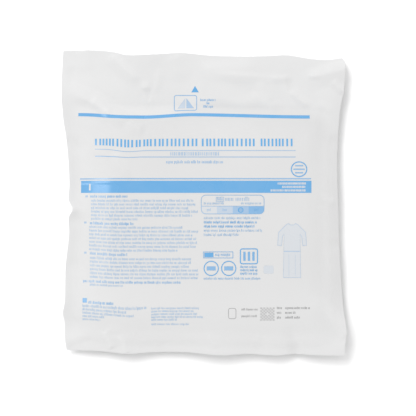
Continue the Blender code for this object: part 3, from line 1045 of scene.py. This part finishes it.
text = bmesh.new()
set_lines(
    text,
    (-113.0, -74.8, 6.0, 2.1, 0.38),
    (-113.3, -69.1, -21.2, 2.1, 0.38),
    (-113.3, -76.0, -51.8, 2.1, 0.36),
    (-120.2, -21.5, -79.2, 2.0, 0.34),
    (-113.3, -80.0, -82.5, 1.6, STROKE_SHARE),
    *paragraph(-112.1, 1.8, 3.68, (-9.8, -7.8, -14.8, -5.8, -11.8, -65.8)),
    *paragraph(-113.9, -24.9, 3.78, (-19.8, -5.8, -10.8, -6.8, -6.8, -7.8, -25.8)),
    *paragraph(-113.2, -56.1, 3.74, (-11.8, -12.3, -14.8, -5.8, -4.8, -5.8)),
    (-114.8, -89.8, -99.8, 2.0, BOLD),
    *paragraph(-120.8, -103.3, 3.3, (-56.8, -76.8, -68.3, -97.8)),
    (-120.8, -102.6, -116.4, 1.7, STROKE_SHARE),
    *paragraph(-51.9, -104.7, 2.9, (-3.8, -9.8, -6.8, -0.8, -25.8), height=1.6),
    (-51.9, -14.8, -120.8, 1.6, STROKE_SHARE),
)
for left, y in ((-118.0, 6.2), (-119.4, -20.6), (-119.4, -51.2)):
    block(text, left, left + MARK, y - 0.4 * MARK, y + 0.4 * MARK, 0.5)
print_text = pressed_on("print_text", text, blue_ink)

# %% [markdown]
# ## Charts and pictures
#
# To the right of the wording stand a size chart, a row of small signs and a picture of
# the garment. Here the chart keeps its rounded box and tinted cells, the signs become
# plain boxes, rings and bars, and the garment is a loose tunic seen from the front.

# %% Size chart
CHART = (-2.7, 60.0, -11.4, 7.7)
CHART_CORNER = 4.6
CHART_STROKE = 0.55
CELL_FOOT, CELL_HEAD = -10.9, -3.8
CELL_EDGES = (-2.4, 13.0, 28.7, 44.4, 59.7)


def rounded(left, right, foot, head, corner):
    """The corners of a rectangle with rounded corners, in order."""
    corners = []
    centres = (
        (right - corner, head - corner),
        (left + corner, head - corner),
        (left + corner, foot + corner),
        (right - corner, foot + corner),
    )
    for quarter, (x, y) in enumerate(centres):
        for step in range(5):
            angle = math.radians(90 * quarter + 22.5 * step)
            corners.append((x + corner * math.cos(angle), y + corner * math.sin(angle)))
    return corners


pictures, tints = bmesh.new(), bmesh.new()
filled(pictures, rounded(*CHART, CHART_CORNER), 0.8, stroke=CHART_STROKE)
first, second, third, fourth, last = CELL_EDGES
foot_corners = rounded(first, last, CELL_FOOT, 0, CHART_CORNER - 0.4)[10:]
left_end = ((second, CELL_FOOT), (second, CELL_HEAD), (first, CELL_HEAD), *foot_corners[:5])
right_end = ((fourth, CELL_FOOT), *foot_corners[5:], (last, CELL_HEAD), (fourth, CELL_HEAD))
filled(tints, left_end, 0.08)
block(tints, second, third, CELL_FOOT, CELL_HEAD, 0.33)
block(tints, third, fourth, CELL_FOOT, CELL_HEAD, 0.62)
filled(tints, right_end, 0.84)
ring(pictures, (third + fourth) / 2, -7.3, 5.6, 5.4, 0.9)
block(pictures, CHART[0] + 0.6, CHART[1] - 0.6, CELL_HEAD, CELL_HEAD + 0.5, 0.7)
frame_of(pictures, 12.2, 20.0, 1.0, 5.6, 0.4, 0.7)

# %% Wording of the chart
for left, right in zip(CELL_EDGES, CELL_EDGES[1:]):
    cell_middle = (left + right) / 2
    set_lines(pictures, (cell_middle - 2, cell_middle + 2, -7.3, 2.0, STROKE_SHARE))
set_lines(
    pictures,
    (13.4, 19.2, 3.3, 2.2, 0.25),
    (21.6, 45.2, 3.3, 3.0, 0.2),
    (0.2, 20.2, -0.8, 1.8, STROKE_SHARE),
    (37.2, 57.2, -0.8, 1.8, STROKE_SHARE),
    (0.2, 55.8, -15.4, TYPE_HEIGHT, STROKE_SHARE),
    (0.2, 52.6, -19.6, TYPE_HEIGHT, BOLD),
    (0.2, 50.4, -23.6, TYPE_HEIGHT, BOLD),
    (0.2, 57.5, -27.8, TYPE_HEIGHT, STROKE_SHARE),
    (0.2, 35.2, -32.0, TYPE_HEIGHT, STROKE_SHARE),
)

# %% Small signs
CORNER = 2.2
SIZE_RING_X, SIZE_RING_Y = 94.4, 33.1

ring(pictures, SIZE_RING_X, SIZE_RING_Y, 16.3, 15.5, 1.0)
for above, reach in ((3.5, 4.0), (0, 5.5), (-3.5, 4.0)):
    y = SIZE_RING_Y + above
    block(pictures, SIZE_RING_X - reach, SIZE_RING_X + reach, y - 0.6, y + 0.6, 0.8)
frame_of(pictures, -0.5, 29.1, -55.0, -48.5, 0.5)
block(pictures, 0.6, 9.6, -53.9, -49.6)
for x in (7.4, 24.7):
    ring(pictures, x, -65.1, 15.0, 15.0, 0.9)
    block(pictures, x - 4.4, x + 4.4, -67.1, -63.1, 0.8)
filled(pictures, rounded(35.8, 53.7, -61.0, -45.3, CORNER), 1.0, stroke=1.0)
for x in (40.3, 44.75, 49.2):
    block(pictures, x - 1.1, x + 1.1, -57.6, -48.7, 0.9)
block(pictures, -120.8, -116.4, -100.0, -95.6, 0.9)
set_lines(
    pictures,
    (11.5, 27.8, -51.7, 2.2, 0.34),
    (36.2, 53.7, -63.8, 1.8, 0.38),
    (36.2, 53.7, -67.0, 1.8, 0.38),
    (36.2, 53.7, -70.3, 1.8, 0.38),
    (0.0, 56.9, -75.3, 1.8, 0.27),
)

# %% Garment picture
TUNIC_X, TUNIC_TOP = 87.5, -20.4
TUNIC = (
    (-3.5, 0), (-6, -1.2), (-13.6, -9), (-14.6, -22), (-10.4, -22.6), (-9.2, -13), (-8, -11),
    (-8.8, -54), (8.8, -54), (8, -11), (9.2, -13), (10.4, -22.6), (14.6, -22), (13.6, -9),
    (6, -1.2), (3.5, 0), (1.6, -1.4), (-1.6, -1.4),
)
PLEATS, PLEAT_FOOT, PLEAT_HEAD = (-3.2, 3.2), -52, -31
WAIST = (-8.2, 8.2, -28.2, -27.4)

tunic = [(TUNIC_X + x, TUNIC_TOP + y) for x, y in TUNIC]
filled(tints, tunic, 0.1)
filled(pictures, tunic, 0.4, stroke=0.6)
for x in PLEATS:
    left, right = TUNIC_X + x - 0.2, TUNIC_X + x + 0.2
    block(pictures, left, right, TUNIC_TOP + PLEAT_FOOT, TUNIC_TOP + PLEAT_HEAD, 0.3)
left, right, foot, head = WAIST
block(pictures, TUNIC_X + left, TUNIC_X + right, TUNIC_TOP + foot, TUNIC_TOP + head, 0.5)
filled(tints, rounded(59.2, 69.2, -70.3, -62.3, 1.5), 0.14)
print_tints = pressed_on("print_tints", tints, blue_ink)
print_pictures = pressed_on("print_pictures", pictures, blue_ink, layer=1)

# %% Marks on the flaps
flap_marks = bmesh.new()
filled(flap_marks, ((-12.5, 110.5), (-5.0, 110.5), (-8.75, 116.9)))
filled(flap_marks, rounded(-29.8, -6.8, 92.1, 107.7, CORNER), 0.8, stroke=0.7)
filled(flap_marks, ((-26.4, 94.6), (-18.6, 94.6), (-18.6, 104.6)), 0.3)
filled(flap_marks, ((-17.4, 94.6), (-9.8, 94.6), (-17.4, 104.6)), 0.55)
set_lines(
    flap_marks,
    (-3.6, 11.6, 102.6, 1.8, 0.36),
    (2.8, 5.6, 99.4, 1.8, 0.36),
    (-0.4, 9.6, 96.1, 1.8, 0.36),
)
print_flap_marks = pressed_on("print_flap_marks", flap_marks, blue_ink)

# %% [markdown]
# ## The black overprint
#
# Batch details are stamped on later in black. Here they are bars and a plain chequer of
# the same grey weight, which can't be read as a code.

# %% Stamped block
CHEQUERS = 9
CHEQUER_PITCH = (1.567, 1.478)
CHEQUER_LEFT, CHEQUER_FOOT = 56.1, -117.0

stamp = bmesh.new()
filled(stamp, rounded(24.2, 32.2, -115.4, -104.4, CORNER), 0.5, stroke=0.6)
for column in range(CHEQUERS):
    for row in range(CHEQUERS):
        if (column + row) % 2 == 0 and (column, row) != (CHEQUERS // 2, CHEQUERS // 2):
            x = CHEQUER_LEFT + column * CHEQUER_PITCH[0]
            y = CHEQUER_FOOT + row * CHEQUER_PITCH[1]
            block(stamp, x, x + 1.4, y, y + 1.3, 0.44)
set_lines(stamp, (37.4, 53.2, -105.95, 1.7, 0.22), (37.4, 53.2, -112.65, 1.7, 0.22))
for y, end in ((-104.5, 105.2), (-109.2, 91.2), (-114.0, 95.7)):
    set_lines(stamp, (72.6, 77.5, y, 1.8, 0.24), (80.8, end, y, 1.8, 0.26))
print_stamp = pressed_on("print_stamp", stamp, black_ink)

# %% [markdown]
# ## Joining it to the model
#
# Each film stands for its solid and moves with the pack.

# %% What each film replaces
prints = [
    print_rules, print_reversed, print_title, print_text, print_tints, print_pictures,
    print_flap_marks, print_stamp,
]
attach(front_film, "root")
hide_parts("front_web")
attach(back_film, "root")
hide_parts("back_web")

# %% [markdown]
# ## Floor, light and camera
#
# White on white needs care with light. An even dome gives the film its tone, and a weak
# soft key from the upper left models the creases. The key is kept out of the gloss, and
# a second light from the left puts a sheen on the ink alone. A large soft light on the
# floor alone throws the short shadow to the lower right.

# %% Floor
FLOOR_WHITE = (0.86, 0.86, 0.86)
FLOOR_REACH = 3.0
FLOOR_DROP = 0.05 * MM

shape = bmesh.new()
bmesh.ops.create_grid(shape, x_segments=8, y_segments=8, size=FLOOR_REACH)
for vertex in shape.verts:
    vertex.co.z = -FLOOR_DROP
floor_finish, _ = new_finish("floor paper", FLOOR_WHITE, 0.9, 0.0)
floor = in_scene("floor", shape, floor_finish)

# %% Light
DOME_LEVEL = 0.95
Lamp = namedtuple("Lamp", "azimuth elevation size distance level")
KEY = Lamp(118, 38, 0.7, 2.2, 0.10)
SHEEN = Lamp(180, 40, 0.8, 2.2, 0.10)
FLOOR_KEY = Lamp(132, 30, 2.4, 2.6, 0.64)


def studio_dome():
    """An even white dome of light."""
    world = bpy.data.worlds.new("studio dome")
    world.use_nodes = True
    background = world.node_tree.nodes["Background"].inputs
    background["Color"].default_value = (1, 1, 1, 1)
    background["Strength"].default_value = DOME_LEVEL
    return world


def soft_light(name, lamp):
    """A square soft light that faces the pack and adds its level of light on a flat white."""
    azimuth, elevation = math.radians(lamp.azimuth), math.radians(lamp.elevation)
    light = bpy.data.lights.new(name, "AREA")
    light.size = lamp.size
    light.energy = lamp.level * math.pi**2 * lamp.distance**2 / math.sin(elevation)
    made = bpy.data.objects.new(name, light)
    flat = math.cos(elevation)
    away = Vector((math.cos(azimuth) * flat, math.sin(azimuth) * flat, math.sin(elevation)))
    made.location = away * lamp.distance
    made.rotation_euler = away.to_track_quat("Z", "Y").to_euler()
    bpy.context.scene.collection.objects.link(made)
    return made


def light_only(light, objects):
    """Links a light to these objects alone."""
    lit = bpy.data.collections.new("lit by " + light.name)
    for lit_object in objects:
        lit.objects.link(lit_object)
    light.light_linking.receiver_collection = lit


bpy.context.scene.world = studio_dome()
key = soft_light("key", KEY)
key.visible_glossy = False
sheen = soft_light("sheen", SHEEN)
sheen.visible_diffuse = False
light_only(sheen, prints)
light_only(soft_light("floor_key", FLOOR_KEY), [floor])
bpy.context.scene.view_settings.view_transform = "Standard"

# %% Camera straight above
PHOTO_SIDE = 416
VIEW_SIDE = PHOTO_SIDE * MM
VIEW_CENTRE = (4.2 * MM, -5.3 * MM)
PACK_LEVEL = 7 * MM
CAMERA_DISTANCE = 2.0
SENSOR = 36.0

camera_data = bpy.data.cameras.new("camera")
camera_data.sensor_width = SENSOR
camera_data.lens = SENSOR * CAMERA_DISTANCE / VIEW_SIDE
camera_data.clip_end = 20
camera = bpy.data.objects.new("camera", camera_data)
camera.location = (*VIEW_CENTRE, PACK_LEVEL + CAMERA_DISTANCE)
bpy.context.scene.collection.objects.link(camera)
bpy.context.scene.camera = camera
print("lens", round(camera_data.lens, 1), "mm for", PHOTO_SIDE, "pixels a side")
